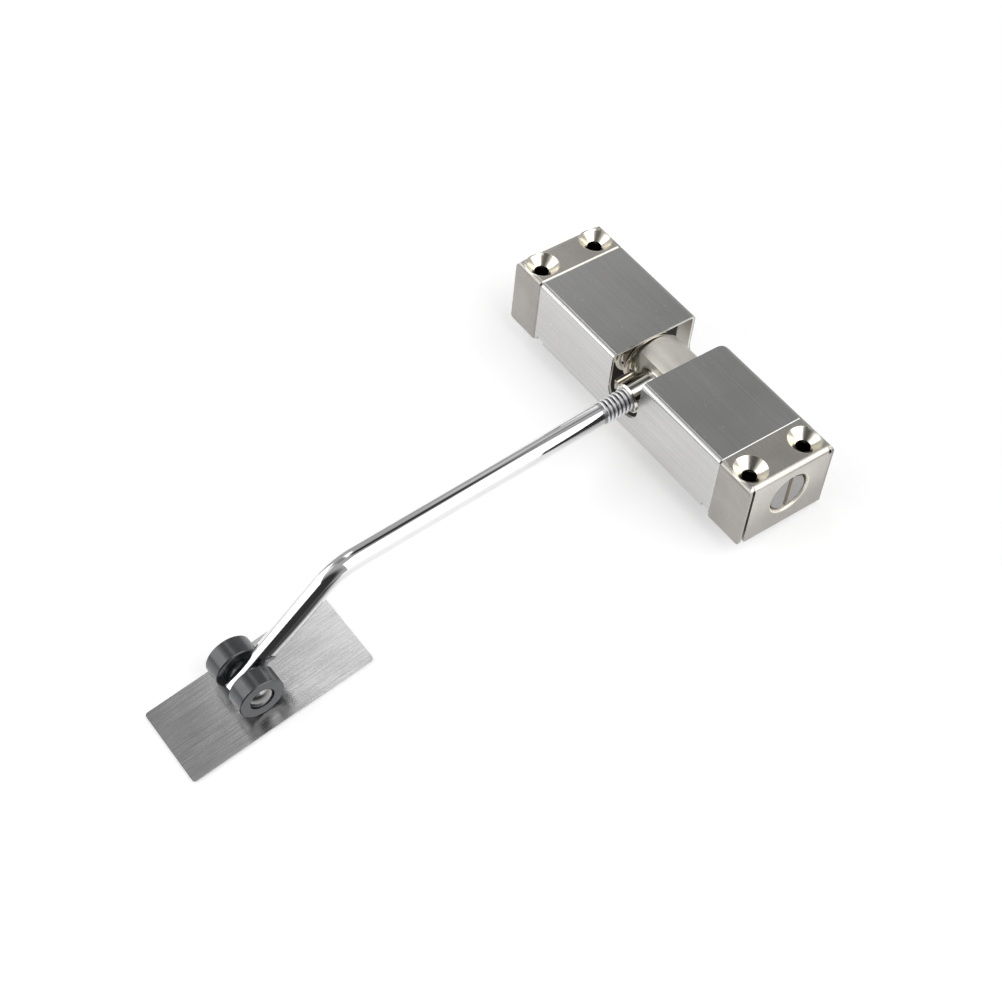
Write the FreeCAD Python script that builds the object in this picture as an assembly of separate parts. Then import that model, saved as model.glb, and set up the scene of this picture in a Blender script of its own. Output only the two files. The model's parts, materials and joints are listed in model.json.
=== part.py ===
import FreeCAD, Part
import math
import os

# Spring door closer with a roller arm and a slide plate. Millimetres and degrees.
# X runs along the pivot shaft towards the tension adjuster, -Y towards the arm,
# and Z away from the mounting surface. Pieces are drawn about the middle of the body's
# mounting face, then shifted so that the origin is the middle of the four screw holes.

# Folded sheet body
body_length = 96.0
body_width = 28.0
body_height = 20.8
sheet = 0.8
bend_radius = 1.6
cover_length = 73.5
cover_middle = -0.5
cover_lift = 1.0
notch_width = 12.0
notch_floor = 5.6
notch_corner = 4.5
relief_radius = 3.2
relief_depth = 2.4
tab_width = 2.6
tab_reach = 3.0
tab_rise = 4.0
cap_seam = 0.9
cap_gap = 0.15
cap_upper_corner = 2.0
cap_lower_corner = 1.0

# Mounting screws
screw_hole_radius = 2.0
countersink_radius = 4.5
screw_half_spacing = 9.0
left_screw_inset = 4.7
right_screw_inset = 5.9

# Shaft, end blocks and tension adjuster
shaft_height = 10.8
shaft_back = 1.0
shaft_radius = 3.0
running_gap = 0.05
seat_gap = 0.1
block_depth = 8.3
cheek_length = 6.0
cheek_inner = 9.8
block_edge = 0.9
block_corner = 2.4
mandrel_radius = 5.8
adjuster_hole_radius = 6.0
adjuster_collar_length = 2.0
adjuster_recess = 0.6
adjuster_radius = 5.6
adjuster_chamfer = 0.3
adjuster_flange_radius = 8.3
adjuster_flange = 2.8
adjuster_slot_width = 1.4
adjuster_slot_depth = 1.0
friction_washer = 0.6
thrust_washer = 0.8

# Rotating hub and springs
hub_left = -6.4
hub_right = 5.4
hub_radius = 8.7
hub_chamfer = 0.3
hub_spigot_end = 19.2
hub_end_gap = 1.0
hub_core_radius = 3.4
bush_radius = 4.0
bush_length = 9.0
socket_radius = 4.3
socket_reach = 14.0
socket_fillet = 1.2
socket_chamfer = 0.5
hub_flat = -5.0
pocket_wall = -4.6
pocket_top = 2.5
wire_radius = 0.8
wire_sides = 8
coil_radius = 7.2
coil_steps = 14
left_turns = 10
right_turns = 9
tang_depth = 2.0
tang_hole_radius = 0.9
leg_height = 1.2
leg_x = -5.43
leg_reach = 13.2
shelf_width = 2.6
shelf_depth = 2.0
shelf_x = -6.1

# Arm
arm_drop = 5.5
arm_reach = 104.0
arm_x = -0.3
arm_bend = 37.0
arm_bend_radius = 16.0
arm_tail = 36.5
rod_radius = 2.9
thread_radius = 3.25
thread_start = 4.6
thread_end = 23.2
thread_chamfer = 0.5
flat_length = 6.8
flat_ramp = 8.0
flat_thickness = 2.5
tip_length = 4.3

# Rollers
roller_radius = 6.4
roller_inner = 2.7
roller_outer = 8.2
roller_chamfer = 0.25
roller_recess_radius = 3.5
roller_recess = 0.8
axle_radius = 1.3
axle_head_radius = 3.15
axle_head_rim = 0.3
axle_head_height = 1.4
axle_float = 0.2
spacer_radius = 3.2

# Slide plate
plate_length = 54.0
plate_width = 24.0
plate_thickness = 0.6
plate_corner = 1.0
plate_tilt = 12.1
plate_inward = 2.1
plate_sideways = 1.1
roller_gap = 0.06
pad_thickness = 0.4
pad_margin = 0.5

V = FreeCAD.Vector
x_axis = V(1, 0, 0)
y_axis = V(0, 1, 0)
z_axis = V(0, 0, 1)

half_width = body_width / 2
half_length = body_length / 2
inner_half_width = half_width - sheet
inner_top = body_height - sheet
cover_left = cover_middle - cover_length / 2
cover_right = cover_middle + cover_length / 2
block_outer = half_length - sheet
block_web = block_outer - block_depth
cheek_end = block_web - cheek_length
cheek_floor = cover_lift + bend_radius
mandrel_end = hub_spigot_end + hub_end_gap
adjuster_face = half_length - adjuster_recess
flange_outer = block_web - seat_gap - friction_washer
flange_inner = flange_outer - adjuster_flange
shaft_centre = V(0, shaft_back, shaft_height)
arm_middle = V(arm_x, 0, 0)
countersink_depth = countersink_radius - screw_hole_radius

# The left coil is wound left-handed and the right one right-handed, so lifting the arm winds up both.
# Angles are about the shaft, from the side away from the arm over the top.
left_anchor_angle = 360 * left_turns
right_anchor_angle = 360 * right_turns
hub_anchor_angle = 90
leg_angle = 180 - math.degrees(math.asin(leg_height / coil_radius)) + arm_drop


# Profiles

def corner_arc(before, corner, after, radius):
    first = (before - corner).normalize()
    last = (after - corner).normalize()
    half = first.getAngle(last) / 2
    bisector = (first + last).normalize()
    centre = corner + bisector * (radius / math.sin(half))
    setback = radius / math.tan(half)
    return [corner + first * setback, centre - bisector * radius, corner + last * setback]


def rounded_edges(points, radii, closed):
    # Straight edges through the points, with an arc at each corner that has a radius.
    count = len(points)
    corners = []
    for i, point in enumerate(points):
        if radii[i] > 0:
            corners.append(corner_arc(points[i - 1], point, points[(i + 1) % count], radii[i]))
        else:
            corners.append([point])
    edges = []
    for i, corner in enumerate(corners):
        if len(corner) == 3:
            edges.append(Part.Arc(*corner).toShape())
        if closed or i < count - 1:
            edges.append(Part.makeLine(corner[-1], corners[(i + 1) % count][0]))
    return edges


def outline_face(points, radii):
    edges = rounded_edges(points, radii, True)
    return Part.Face(Part.Wire(Part.sortEdges(edges)[0]))


def sheet_face(points, normal):
    # Section of a bent sheet: its outer line, and the same line one sheet thickness inside.
    sides = []
    for start, end in zip(points, points[1:]):
        sides.append((end - start).normalize().cross(normal))
    inner = [points[0] + sides[0] * sheet]
    for point, side, following in zip(points[1:], sides, sides[1:]):
        inner.append(point + (side + following) * (sheet / (1 + side.dot(following))))
    inner.append(points[-1] + sides[-1] * sheet)
    bends = len(points) - 2
    edges = rounded_edges(points, [0] + [bend_radius] * bends + [0], False)
    edges += rounded_edges(inner, [0] + [bend_radius - sheet] * bends + [0], False)
    edges.append(Part.makeLine(points[0], inner[0]))
    edges.append(Part.makeLine(points[-1], inner[-1]))
    return Part.Face(Part.Wire(Part.sortEdges(edges)[0]))


def turned(profile):
    # Solid of revolution about the shaft from (x, radius) points.
    points = [shaft_centre + V(x, 0, radius) for x, radius in profile]
    face = Part.Face(Part.makePolygon(points + points[:1]))
    return face.revolve(shaft_centre, x_axis, 360)


def box(low, high):
    size = high - low
    return Part.makeBox(size.x, size.y, size.z, low)


def rod_along_x(radius, start, end, offset=V(0, 0, 0)):
    return Part.makeCylinder(radius, end - start, shaft_centre + offset + V(start, 0, 0), x_axis)


def on_coil(x, angle):
    turn = math.radians(angle)
    return shaft_centre + V(x, coil_radius * math.cos(turn), coil_radius * math.sin(turn))


def mirrored(shape, normal, about=V(0, 0, 0)):
    return shape.mirror(about, normal)


def at_arm_angle(shape):
    # Arm pieces are drawn with the arm level, then dropped to the rest position.
    return shape.rotated(shaft_centre, x_axis, arm_drop)


# Folded cover and end caps

def make_cover():
    section = [
        V(cover_left, -half_width, cover_lift),
        V(cover_left, -half_width, body_height),
        V(cover_left, half_width, body_height),
        V(cover_left, half_width, cover_lift),
    ]
    cover = sheet_face(section, x_axis).extrude(x_axis * cover_length)
    notch_left = cover_middle - notch_width / 2
    above = body_height + bend_radius
    notch = outline_face(
        [
            V(notch_left, -body_width, above),
            V(notch_left, -body_width, notch_floor),
            V(notch_left + notch_width, -body_width, notch_floor),
            V(notch_left + notch_width, -body_width, above),
        ],
        [0, notch_corner, notch_corner, 0],
    )
    cover = cover.cut(notch.extrude(y_axis * 2 * body_width))
    cover = cover.cut(corner_relief(V(notch_left + notch_width, half_width, body_height)))
    for middle in ((cover_left - cheek_end) / 2, (cover_right + cheek_end) / 2):
        start = middle - tab_width / 2
        tab = make_tab(start)
        gap = box(
            V(start, -half_width, cover_lift),
            V(start + tab_width, -inner_half_width, cover_lift + bend_radius),
        )
        cover = cover.cut(gap).fuse(tab)
        cover = cover.cut(mirrored(gap, y_axis)).fuse(mirrored(tab, y_axis))
    return cover.removeSplitter()


def corner_relief(corner):
    # Rounds the top's corner beside the notch and leaves a relief in the bend below it.
    bottom = corner - z_axis * relief_depth
    waste = box(bottom + V(-sheet, -relief_radius, 0), corner + V(relief_radius, sheet, sheet))
    kept = Part.makeCylinder(relief_radius, 2 * relief_depth, bottom + V(relief_radius, -relief_radius, 0))
    return waste.cut(kept)


def make_tab(start):
    # Lug at the lower edge of the cover's wall, bent in under an end block's cheek.
    section = [
        V(start, -half_width + tab_reach, cover_lift),
        V(start, -half_width, cover_lift),
        V(start, -half_width, cover_lift + tab_rise),
    ]
    return sheet_face(section, x_axis).extrude(x_axis * tab_width)


def make_end_cap(inner_edge, screw_x, has_adjuster_hole):
    # Right-hand cap: top, side and end panels folded from one blank with open corner seams.
    length = half_length - inner_edge
    section = [
        V(inner_edge, -half_width, 0),
        V(inner_edge, -half_width, body_height),
        V(inner_edge, half_width, body_height),
        V(inner_edge, half_width, 0),
    ]
    sides = sheet_face(section, x_axis).extrude(x_axis * length)
    side_outline = outline_face(
        [
            V(inner_edge, -body_width, 0),
            V(inner_edge, -body_width, body_height),
            V(half_length, -body_width, body_height),
            V(half_length, -body_width, 0),
        ],
        [0, 0, cap_upper_corner, cap_lower_corner],
    )
    sides = sides.common(side_outline.extrude(y_axis * 2 * body_width))
    end_half = inner_half_width - cap_seam
    strip = [
        V(inner_edge, -end_half, body_height),
        V(half_length, -end_half, body_height),
        V(half_length, -end_half, 0),
    ]
    end = sheet_face(strip, -y_axis).extrude(y_axis * 2 * end_half)
    end_outline = outline_face(
        [
            V(inner_edge, -end_half, 0),
            V(inner_edge, end_half, 0),
            V(inner_edge, end_half, body_height),
            V(inner_edge, -end_half, body_height),
        ],
        [cap_lower_corner, cap_lower_corner, 0, 0],
    )
    end = end.common(end_outline.extrude(x_axis * length))
    panel_edge = body_height - cap_upper_corner
    behind = half_length - sheet
    sides = sides.cut(box(V(behind - cap_gap, end_half, 0), V(half_length, half_width, panel_edge + cap_gap)))
    far_edge = box(V(behind, end_half - cap_lower_corner, 0), V(half_length, half_width, panel_edge))
    cap = sides.fuse(end).fuse(far_edge)
    for y in (-screw_half_spacing, screw_half_spacing):
        cap = cap.fuse(countersink_wall(screw_x, y, 0))
    for y in (-screw_half_spacing, screw_half_spacing):
        cap = cap.cut(countersink_cone(screw_x, y))
        cap = cap.cut(Part.makeCylinder(screw_hole_radius, body_height, V(screw_x, y, 0)))
    if has_adjuster_hole:
        collar_end = half_length - sheet - adjuster_collar_length
        cap = cap.fuse(rod_along_x(adjuster_hole_radius + sheet, collar_end, half_length - sheet))
        cap = cap.cut(adjuster_mouth(collar_end))
    return cap.removeSplitter()


def countersink_wall(x, y, growth):
    # Underside of the countersink pressed into the sheet, grown by a clearance for its seat.
    top = body_height - sheet
    depth = countersink_depth
    upper = countersink_radius + sheet * (math.sqrt(2) - 1) + growth
    return Part.makeCone(upper - depth, upper, depth, V(x, y, top - depth))


def countersink_cone(x, y):
    wide = countersink_radius + sheet
    height = wide - screw_hole_radius
    return Part.makeCone(screw_hole_radius, wide, height, V(x, y, body_height - countersink_depth))


def adjuster_mouth(collar_end):
    # Bore of the drawn collar, with its rolled entry.
    lip = half_length - sheet
    edge = shaft_centre + V(lip, 0, adjuster_hole_radius)
    centre = edge + z_axis * sheet
    outer = centre + x_axis * sheet
    middle = centre + V(1, 0, -1).normalize() * sheet
    inner_middle = shaft_centre + x_axis * collar_end
    outer_middle = shaft_centre + x_axis * half_length
    inner_edge = inner_middle + z_axis * adjuster_hole_radius
    edges = [
        Part.makeLine(inner_middle, inner_edge),
        Part.makeLine(inner_edge, edge),
        Part.Arc(edge, middle, outer).toShape(),
        Part.makeLine(outer, outer_middle),
        Part.makeLine(outer_middle, inner_middle),
    ]
    return Part.Face(Part.Wire(edges)).revolve(shaft_centre, x_axis, 360)


# Cast end blocks

def make_block_body(screw_x):
    # Right-hand block: a seat for the screws behind a web, with a cheek inside each cover wall.
    plan = [
        V(block_web, -inner_half_width, 0),
        V(block_outer - block_corner, -inner_half_width, 0),
        V(block_outer, -inner_half_width + block_corner, 0),
        V(block_outer, inner_half_width - block_corner, 0),
        V(block_outer - block_corner, inner_half_width, 0),
        V(block_web, inner_half_width, 0),
    ]
    body = outline_face(plan, [0] * len(plan)).extrude(z_axis * inner_top)
    for side in (-1, 1):
        near = min(side * cheek_inner, side * inner_half_width)
        far = max(side * cheek_inner, side * inner_half_width)
        cheek = box(V(cheek_end, near, cheek_floor), V(block_web, far, inner_top))
        body = body.fuse(cheek)
    body = body.removeSplitter()
    body = body.makeFillet(block_edge, outer_top_edges(body))
    for y in (-screw_half_spacing, screw_half_spacing):
        body = body.cut(countersink_wall(screw_x, y, seat_gap))
        body = body.cut(Part.makeCylinder(screw_hole_radius, body_height, V(screw_x, y, 0)))
    return body


def outer_top_edges(block):
    # Edges that lie under the bends of the sheet above.
    edges = []
    for edge in block.Edges:
        middle = edge.CenterOfMass
        level = abs(middle.z - inner_top) < sheet / 10
        on_side = abs(abs(middle.y) - inner_half_width) < sheet / 10
        on_end = abs(middle.x - block_outer) < sheet / 10
        corner_line = block_outer + inner_half_width - block_corner
        on_corner = abs(middle.x + abs(middle.y) - corner_line) < sheet / 10
        if level and (on_side or on_end or on_corner):
            edges.append(edge)
    return edges


def make_left_block(screw_x):
    block = mirrored(make_block_body(screw_x), x_axis)
    block = block.fuse(rod_along_x(mandrel_radius, -block_web, -mandrel_end))
    shaft_end = -block_outer + shaft_radius
    block = block.cut(rod_along_x(shaft_radius, shaft_end, 0))
    anchor = on_coil(0, left_anchor_angle) - shaft_centre
    return block.cut(rod_along_x(tang_hole_radius, -block_web - tang_depth - seat_gap, -block_web, anchor))


def make_right_block(screw_x):
    block = make_block_body(screw_x)
    block = block.cut(rod_along_x(adjuster_radius + running_gap, 0, half_length))
    collar_end = half_length - sheet - adjuster_collar_length
    return block.cut(rod_along_x(adjuster_hole_radius + sheet + seat_gap, collar_end - seat_gap, half_length))


# Shaft, adjuster and washers

def make_shaft():
    start = -block_outer + shaft_radius
    end = flange_outer + adjuster_slot_depth
    chamfer = hub_chamfer
    return turned([
        (start, 0),
        (start, shaft_radius - chamfer),
        (start + chamfer, shaft_radius),
        (end - chamfer, shaft_radius),
        (end, shaft_radius - chamfer),
        (end, 0),
    ])


def make_adjuster():
    bore = shaft_radius + running_gap
    bore_end = flange_outer + adjuster_slot_depth + seat_gap
    plug = turned([
        (mandrel_end, bore),
        (mandrel_end, mandrel_radius),
        (flange_inner, mandrel_radius),
        (flange_inner, adjuster_flange_radius),
        (flange_outer, adjuster_flange_radius),
        (flange_outer, adjuster_radius),
        (adjuster_face - adjuster_chamfer, adjuster_radius),
        (adjuster_face, adjuster_radius - adjuster_chamfer),
        (adjuster_face, 0),
        (bore_end, 0),
        (bore_end, bore),
    ])
    slot = box(
        V(adjuster_face - adjuster_slot_depth, shaft_back - adjuster_slot_width / 2, 0),
        V(adjuster_face, shaft_back + adjuster_slot_width / 2, body_height),
    )
    anchor = on_coil(0, right_anchor_angle) - shaft_centre
    hole_end = flange_inner + tang_depth + seat_gap
    return plug.cut(slot).cut(rod_along_x(tang_hole_radius, flange_inner, hole_end, anchor))


def make_ring(start, end, inner, outer):
    return turned([(start, inner), (end, inner), (end, outer), (start, outer)])


# Hub, with the threaded socket for the arm

def make_hub():
    barrel = turned([
        (-hub_spigot_end, 0),
        (-hub_spigot_end, mandrel_radius),
        (hub_left, mandrel_radius),
        (hub_left, hub_radius - hub_chamfer),
        (hub_left + hub_chamfer, hub_radius),
        (hub_right - hub_chamfer, hub_radius),
        (hub_right, hub_radius - hub_chamfer),
        (hub_right, mandrel_radius),
        (hub_spigot_end, mandrel_radius),
        (hub_spigot_end, 0),
    ])
    socket = Part.makeCylinder(socket_radius, socket_reach, arm_point(0, 0), -y_axis)
    socket = socket.makeChamfer(socket_chamfer, end_circle(socket, arm_point(socket_reach, 0)))
    front = box(
        shaft_centre + V(hub_left, -socket_reach, -body_height),
        shaft_centre + V(hub_right, hub_flat, body_height),
    )
    hub = barrel.cut(front).fuse(socket)
    hub = hub.makeFillet(socket_fillet, end_circle(hub, arm_point(-hub_flat, 0)))
    hub = hub.cut(leg_pocket())
    shelf_top = leg_height - wire_radius
    shelf = box(
        shaft_centre + V(shelf_x, -leg_reach, shelf_top - shelf_depth),
        shaft_centre + V(arm_x, -leg_reach + shelf_width, shelf_top),
    )
    hub = hub.fuse(shelf)
    hub = hub.cut(rod_along_x(hub_core_radius, -hub_spigot_end, hub_spigot_end))
    for start in (-hub_spigot_end, hub_spigot_end - bush_length):
        hub = hub.cut(rod_along_x(bush_radius, start, start + bush_length))
    hub = hub.cut(Part.makeCylinder(thread_radius, socket_reach, arm_point(thread_start, 0), -y_axis))
    anchor = on_coil(0, hub_anchor_angle) - shaft_centre
    hub = hub.cut(rod_along_x(tang_hole_radius, hub_right - tang_depth - seat_gap, hub_right, anchor))
    return at_arm_angle(hub)


def leg_pocket():
    # Room beside the socket for the spring's last turn and its leg, under a hood at the top of the barrel.
    reach = hub_radius + sheet
    pocket = box(
        shaft_centre + V(hub_left - sheet, -reach, -reach),
        shaft_centre + V(pocket_wall, reach, pocket_top),
    )
    return pocket.cut(rod_along_x(mandrel_radius, hub_left - 2 * sheet, 0))


def end_circle(solid, centre):
    edges = []
    for edge in solid.Edges:
        if (edge.CenterOfMass - centre).Length < sheet / 10 and edge.Length > socket_radius:
            edges.append(edge)
    return edges


# Torsion springs

def wire_along(path):
    # Round wire drawn with flat sides: each side runs straight to the mitre plane of the next corner.
    runs = [(end - start).normalize() for start, end in zip(path, path[1:])]
    sideways = runs[0].cross(z_axis).normalize()
    upward = runs[0].cross(sideways)
    ring = []
    for i in range(wire_sides):
        turn = 2 * math.pi * i / wire_sides
        ring.append(path[0] + (sideways * math.cos(turn) + upward * math.sin(turn)) * wire_radius)
    faces = [Part.Face(Part.makePolygon(ring + ring[:1]))]
    for i, run in enumerate(runs):
        mitre = run + runs[min(i + 1, len(runs) - 1)]
        following = [p + run * ((path[i + 1] - p).dot(mitre) / run.dot(mitre)) for p in ring]
        for j in range(wire_sides):
            k = (j + 1) % wire_sides
            faces.append(Part.Face(Part.makePolygon([ring[j], ring[k], following[k], following[j], ring[j]])))
        ring = following
    faces.append(Part.Face(Part.makePolygon(ring + ring[:1])))
    shell = Part.makeShell(faces)
    shell.sewShape()
    solid = Part.Solid(shell)
    if solid.Volume < 0:
        solid.reverse()
    return solid


def coil(first_x, last_x, first_angle, last_angle):
    steps = round(abs(last_angle - first_angle) / 360 * coil_steps)
    points = []
    for i in range(steps + 1):
        share = i / steps
        angle = first_angle + (last_angle - first_angle) * share
        points.append(on_coil(first_x + (last_x - first_x) * share, angle))
    return points


def rounded_ends(start, points, end):
    # Joins a straight end to each end of a coil with a small bend.
    bend = 1.5 * wire_radius
    first = corner_arc(start, points[0], points[1], bend)
    last = corner_arc(points[-2], points[-1], end, bend)
    return [start] + first + points[1:-1] + last + [end]


def make_left_spring():
    start = on_coil(-block_web - tang_depth, left_anchor_angle)
    first_x = -block_web + 2 * wire_radius
    points = coil(first_x, leg_x, left_anchor_angle, leg_angle)
    outward = V(0, -1, 0)
    drop = FreeCAD.Rotation(x_axis, arm_drop)
    leg_end = points[-1] + drop.multVec(outward) * (leg_reach - coil_radius)
    return wire_along(rounded_ends(start, points, leg_end))


def make_right_spring():
    start_angle = hub_anchor_angle + arm_drop
    start = on_coil(hub_right - tang_depth, start_angle)
    first_x = hub_right + 2 * wire_radius
    points = coil(first_x, flange_inner - 2 * wire_radius, start_angle, right_anchor_angle)
    end = on_coil(flange_inner + tang_depth, right_anchor_angle)
    return wire_along(rounded_ends(start, points, end))


# Arm with its rollers

def arm_point(along, down):
    return shaft_centre + V(arm_x, -along, -down)


def make_arm():
    bend = math.radians(arm_bend)
    tail = V(0, -math.cos(bend), -math.sin(bend))
    corner = arm_point(arm_reach, 0)
    axle = corner + tail * arm_tail
    tip = axle + tail * tip_length
    bend_start, bend_middle, bend_end = corner_arc(arm_point(0, 0), corner, axle, arm_bend_radius)
    start = arm_point(thread_end, 0)
    shank = Part.makeCylinder(rod_radius, (bend_start - start).Length, start, -y_axis)
    turn = Part.Face(Part.Wire([Part.makeCircle(rod_radius, bend_start, y_axis)]))
    turn = turn.revolve(bend_start - z_axis * arm_bend_radius, x_axis, arm_bend)
    tail_rod = Part.makeCylinder(rod_radius, (tip - bend_end).Length, bend_end, tail)
    thread = Part.makeCylinder(thread_radius, thread_end - thread_start, arm_point(thread_start, 0), -y_axis)
    ends = end_circle(thread, arm_point(thread_start, 0)) + end_circle(thread, arm_point(thread_end, 0))
    thread = thread.makeChamfer(thread_chamfer, ends)
    rod = shank.fuse([turn, tail_rod, thread]).removeSplitter()
    waste = side_waste(axle, tail)
    rod = rod.cut([waste, mirrored(waste, x_axis, arm_middle)])
    rod = rod.cut(Part.makeCylinder(axle_radius, body_width, axle - x_axis * half_width, x_axis))
    return at_arm_angle(rod)


def side_waste(axle, tail):
    # What is taken off one side of the rod to leave the flat for the axle, with a ramp up to full round.
    across = tail.cross(x_axis)
    flat_side = x_axis * (flat_thickness / 2)
    clear = x_axis * (2 * rod_radius)
    ramp_start = axle - tail * (flat_length + flat_ramp)
    beyond = axle + tail * (2 * tip_length)
    profile = [
        ramp_start + clear,
        axle - tail * flat_length + flat_side,
        beyond + flat_side,
        beyond + clear,
    ]
    profile = [point - across * half_width for point in profile]
    return Part.Face(Part.makePolygon(profile + profile[:1])).extrude(across * body_width)


def axle_centre():
    bend = math.radians(arm_bend)
    level = arm_point(arm_reach + arm_tail * math.cos(bend), arm_tail * math.sin(bend))
    return shaft_centre + FreeCAD.Rotation(x_axis, arm_drop).multVec(level - shaft_centre)


def at_axle(shape):
    # Turned pieces are drawn on the shaft's line, then moved to the arm's end.
    return shape.translated(axle_centre() - shaft_centre)


def make_roller():
    recess_floor = roller_outer - roller_recess
    bore = axle_radius + running_gap
    return at_axle(turned([
        (roller_inner, bore),
        (roller_inner, roller_radius - roller_chamfer),
        (roller_inner + roller_chamfer, roller_radius),
        (roller_outer - roller_chamfer, roller_radius),
        (roller_outer, roller_radius - roller_chamfer),
        (roller_outer, roller_recess_radius),
        (recess_floor, roller_recess_radius),
        (recess_floor, bore),
    ]))


def make_axle():
    # Rivet with a domed head at each end.
    seat = roller_outer - roller_recess + axle_float
    rim = seat + axle_head_rim
    top = seat + axle_head_height
    rise = top - rim
    dome_radius = (axle_head_radius ** 2 + rise ** 2) / (2 * rise)
    half_angle = math.asin(axle_head_radius / dome_radius) / 2
    centre_x = top - dome_radius
    halfway = V(centre_x + dome_radius * math.cos(half_angle), 0, dome_radius * math.sin(half_angle))
    middle = shaft_centre + halfway
    outline = [
        (0, 0),
        (0, axle_radius),
        (seat, axle_radius),
        (seat, axle_head_radius),
        (rim, axle_head_radius),
    ]
    points = [shaft_centre + V(x, 0, radius) for x, radius in outline]
    summit = shaft_centre + V(top, 0, 0)
    edges = [Part.makeLine(a, b) for a, b in zip(points, points[1:])]
    edges.append(Part.Arc(points[-1], middle, summit).toShape())
    edges.append(Part.makeLine(summit, points[0]))
    half_axle = Part.Face(Part.Wire(edges)).revolve(shaft_centre, x_axis, 360)
    return at_axle(half_axle.fuse(mirrored(half_axle, x_axis)).removeSplitter())


def make_spacer():
    thickness = roller_inner - flat_thickness / 2 - seat_gap
    face = flat_thickness / 2
    return at_axle(make_ring(face, face + thickness, axle_radius + running_gap, spacer_radius))


# Slide plate, with the pad that glues it to the door

def make_plate(length, width, top, thickness):
    corners = [
        V(-width / 2, -length / 2, top - thickness),
        V(width / 2, -length / 2, top - thickness),
        V(width / 2, length / 2, top - thickness),
        V(-width / 2, length / 2, top - thickness),
    ]
    plate = outline_face(corners, [plate_corner] * 4).extrude(z_axis * thickness)
    tilt = FreeCAD.Rotation(x_axis, plate_tilt)
    contact = axle_centre() - tilt.multVec(z_axis) * (roller_radius + roller_gap)
    middle = contact + tilt.multVec(y_axis) * plate_inward + x_axis * plate_sideways
    plate.Placement = FreeCAD.Placement(middle, tilt)
    return plate


left_screw = half_length - left_screw_inset
right_screw = half_length - right_screw_inset
right_roller = make_roller()
right_spacer = make_spacer()
pad_length = plate_length - 2 * pad_margin
pad_width = plate_width - 2 * pad_margin

nodes = {
    "cover": make_cover(),
    "left_end_cap": mirrored(make_end_cap(cap_gap - cover_left, left_screw, False), x_axis),
    "right_end_cap": make_end_cap(cover_right + cap_gap, right_screw, True),
    "left_end_block": make_left_block(left_screw),
    "right_end_block": make_right_block(right_screw),
    "pivot_shaft": make_shaft(),
    "tension_adjuster": make_adjuster(),
    "adjuster_washer": make_ring(
        flange_outer, flange_outer + friction_washer, adjuster_radius + seat_gap, adjuster_flange_radius),
    "left_thrust_washer": make_ring(
        -mandrel_end, -mandrel_end + thrust_washer, shaft_radius + seat_gap, mandrel_radius),
    "right_thrust_washer": make_ring(
        mandrel_end - thrust_washer, mandrel_end, shaft_radius + seat_gap, mandrel_radius),
    "pivot_hub": make_hub(),
    "left_hub_bush": make_ring(
        -hub_spigot_end, -hub_spigot_end + bush_length, shaft_radius + running_gap, bush_radius),
    "right_hub_bush": make_ring(
        hub_spigot_end - bush_length, hub_spigot_end, shaft_radius + running_gap, bush_radius),
    "left_spring": make_left_spring(),
    "right_spring": make_right_spring(),
    "arm_rod": make_arm(),
    "roller_axle": make_axle(),
    "front_spacer": right_spacer,
    "rear_spacer": mirrored(right_spacer, x_axis, arm_middle),
    "front_roller": right_roller,
    "rear_roller": mirrored(right_roller, x_axis, arm_middle),
    "slide_plate": make_plate(plate_length, plate_width, 0, plate_thickness),
    "adhesive_pad": make_plate(pad_length, pad_width, -plate_thickness, pad_thickness),
}

# Half the difference between the two screw insets brings the screw pattern's middle to the origin.
pattern_shift = x_axis * (right_screw_inset - left_screw_inset) / 2

os.makedirs("parts", exist_ok=True)
for name, shape in nodes.items():
    placed = shape.translated(pattern_shift)
    placed.exportStep("parts/" + name + ".step")
    print(name, len(placed.Solids), "valid" if placed.isValid() else "NOT VALID", round(placed.Volume, 1))
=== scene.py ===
import json
import math
import bpy
from mathutils import Matrix, Vector


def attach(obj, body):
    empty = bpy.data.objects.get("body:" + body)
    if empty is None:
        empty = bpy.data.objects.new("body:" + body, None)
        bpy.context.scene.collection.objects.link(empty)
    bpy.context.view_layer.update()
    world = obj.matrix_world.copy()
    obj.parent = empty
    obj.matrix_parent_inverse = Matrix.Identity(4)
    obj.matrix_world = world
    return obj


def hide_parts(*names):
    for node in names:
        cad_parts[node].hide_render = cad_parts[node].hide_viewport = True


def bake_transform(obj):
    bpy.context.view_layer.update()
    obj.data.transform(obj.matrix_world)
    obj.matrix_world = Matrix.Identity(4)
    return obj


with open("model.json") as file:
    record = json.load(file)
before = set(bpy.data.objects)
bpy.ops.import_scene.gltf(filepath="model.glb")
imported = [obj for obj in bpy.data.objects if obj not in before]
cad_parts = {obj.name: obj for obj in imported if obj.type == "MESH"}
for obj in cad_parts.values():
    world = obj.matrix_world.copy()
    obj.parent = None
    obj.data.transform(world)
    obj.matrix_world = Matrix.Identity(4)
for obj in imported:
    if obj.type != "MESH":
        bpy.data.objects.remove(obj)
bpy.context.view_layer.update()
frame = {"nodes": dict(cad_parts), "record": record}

mm = 0.001
weld = 0.002 * mm  # points nearer than this become one
sliver = 0.0001 * mm  # slack when points are picked or cut at a plane
shaftPlace = Vector((0.6, 1.0, 10.8)) * mm  # a point on the line of the pivot shaft
armPlace = Vector((0.3, 1.0, 10.8)) * mm  # where the arm's line meets it
armDrop = math.radians(5.5)  # the arm hangs this far below level at rest
print("frame loaded:", len(frame["nodes"]), "nodes")


# picking and placing, as by hand

def pickNothing():
    if bpy.context.object and bpy.context.object.mode != "OBJECT":
        bpy.ops.object.mode_set(mode="OBJECT")
    bpy.ops.object.select_all(action="DESELECT")


def pickPiece(piece):
    pickNothing()
    piece.select_set(True)
    bpy.context.view_layer.objects.active = piece


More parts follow.
